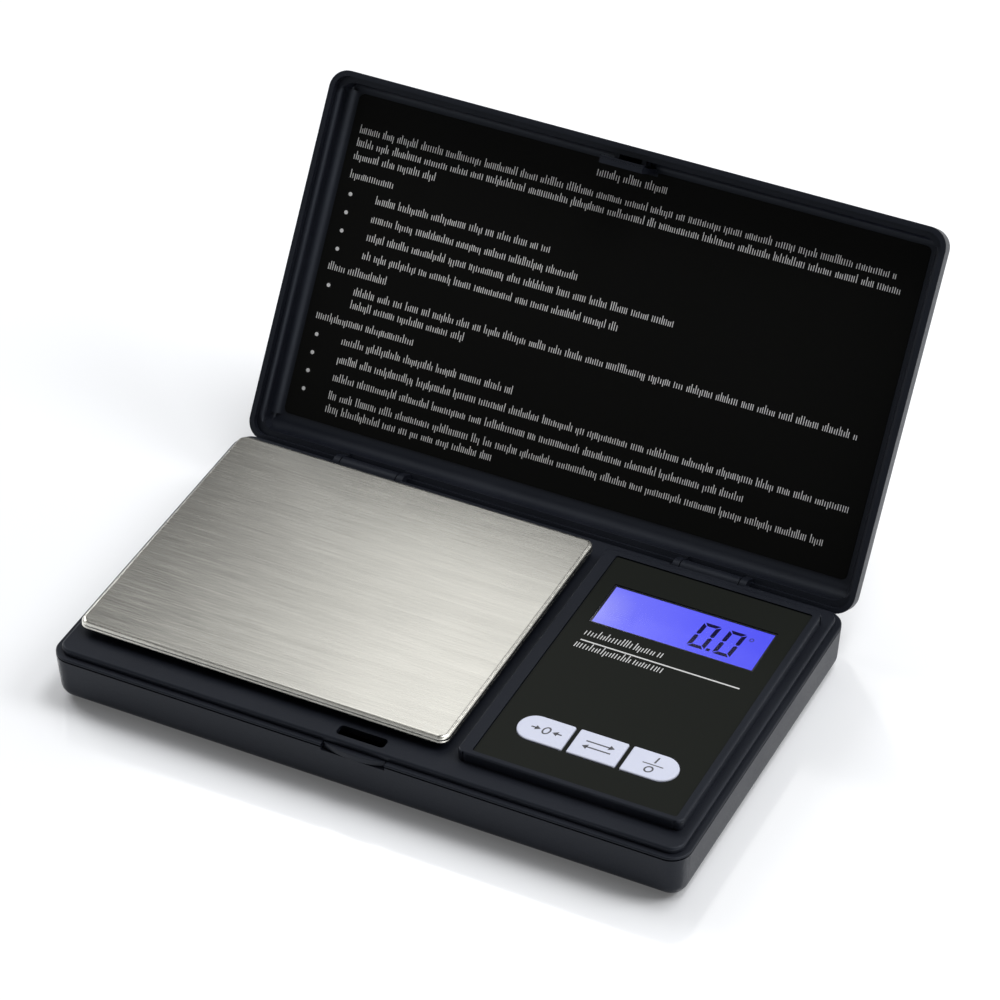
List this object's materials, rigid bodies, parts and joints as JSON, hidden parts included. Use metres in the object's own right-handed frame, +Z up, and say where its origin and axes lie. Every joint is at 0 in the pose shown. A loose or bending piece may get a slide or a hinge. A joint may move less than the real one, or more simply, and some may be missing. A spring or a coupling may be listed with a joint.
{
  "type": "digital gram scale",
  "caption": "Flip-lid pocket scale with a brushed weighing plate, backlit display, push keys, a bending-beam load cell and a sliding battery cover.",
  "frame": {"origin": "middle of the case footprint, on the plane of the rubber feet", "axes": "+X to the right as the display is read, +Y towards the lid hinge, +Z up from the weighing plate"},
  "size_m": [0.133, 0.1249, 0.0737],
  "materials": {
    "battery_green": "shrink sleeve",
    "cable_red": "insulated wire",
    "carbon_black": "carbon-loaded silicone",
    "case_black": "moulded ABS, fine spark texture",
    "cell_aluminium": "machined bar",
    "chip_black": "moulded package with tinned legs",
    "contact_nickel": "nickel-plated spring steel",
    "foot_rubber": "die-cut pad",
    "gauge_coat": "silicone coat over the gauges",
    "guide_white": "light guide",
    "holder_white": "moulded frame",
    "key_pale": "moulded caps, lightly frosted",
    "label_black": "printed self-adhesive film",
    "lcd_blue": "liquid crystal display, backlit",
    "led_white": "side-firing lamp",
    "mat_grey": "translucent silicone",
    "overlay_black": "satin printed film",
    "parts_tan": "small surface-mount parts",
    "pcb_green": "solder mask",
    "plate_steel": "brushed along X",
    "screw_steel": "zinc plated",
    "support_black": "moulded ABS",
    "tape_white": "foam tape",
    "window_clear": "clear film",
    "zebra_pink": "conductive elastomer strip"
  },
  "bodies": {
    "base": {"bottom_case": "case_black", "top_deck": "case_black", "load_cell": "cell_aluminium", "cell_screws": "screw_steel", "strain_gauges": "gauge_coat", "cell_cable": "cable_red", "keypad_mat": "mat_grey", "control_overlay": "overlay_black", "display_window": "window_clear", "lcd_glass": "lcd_blue", "backlight_guide": "guide_white", "backlight_leds": "led_white", "lcd_holder": "holder_white", "zebra_strip": "zebra_pink", "main_pcb": "pcb_green", "processor_chip": "chip_black", "converter_chip": "chip_black", "small_parts": "parts_tan", "pcb_screws": "screw_steel", "battery_left": "battery_green", "battery_right": "battery_green", "spring_contacts": "contact_nickel", "plate_contacts": "contact_nickel", "battery_leads": "cable_red", "case_screws": "screw_steel", "rubber_feet": "foot_rubber"},
    "lid": {"lid": "case_black", "lid_label": "label_black"},
    "platform": {"weighing_plate": "plate_steel", "platform_support": "support_black", "plate_tape": "tape_white", "platform_screws": "screw_steel"},
    "tare_button": {"tare_key": "key_pale", "tare_contact": "carbon_black"},
    "mode_button": {"mode_key": "key_pale", "mode_contact": "carbon_black"},
    "power_button": {"power_key": "key_pale", "power_contact": "carbon_black"},
    "latch_slider": {"latch_button": "case_black"},
    "battery_door": {"battery_cover": "case_black"}
  },
  "joints": [
    {"name": "lid_hinge", "type": "hinge", "parent": "base", "child": "lid", "pos_m": [0, 0.03855, 0.01005], "axis": [-1, 0, 0], "range_deg": [-123.5, 0]},
    {"name": "platform_deflection", "type": "slide", "parent": "base", "child": "platform", "axis": [0, 0, -1], "range_m": [0, 0.0004], "stiffness_N_per_m": 20000, "deforming": ["load_cell", "strain_gauges"]},
    {"name": "tare_press", "type": "slide", "parent": "base", "child": "tare_button", "axis": [0, 0, -1], "range_m": [0, 0.0006], "stiffness_N_per_m": 1500},
    {"name": "mode_press", "type": "slide", "parent": "base", "child": "mode_button", "axis": [0, 0, -1], "range_m": [0, 0.0006], "stiffness_N_per_m": 1500},
    {"name": "power_press", "type": "slide", "parent": "base", "child": "power_button", "axis": [0, 0, -1], "range_m": [0, 0.0006], "stiffness_N_per_m": 1500},
    {"name": "latch_press", "type": "slide", "parent": "base", "child": "latch_slider", "axis": [0, 1, 0], "range_m": [0, 0.0008], "stiffness_N_per_m": 150},
    {"name": "battery_door_slide", "type": "slide", "parent": "base", "child": "battery_door", "axis": [0, 1, 0], "range_m": [0, 0.062]}
  ]
}
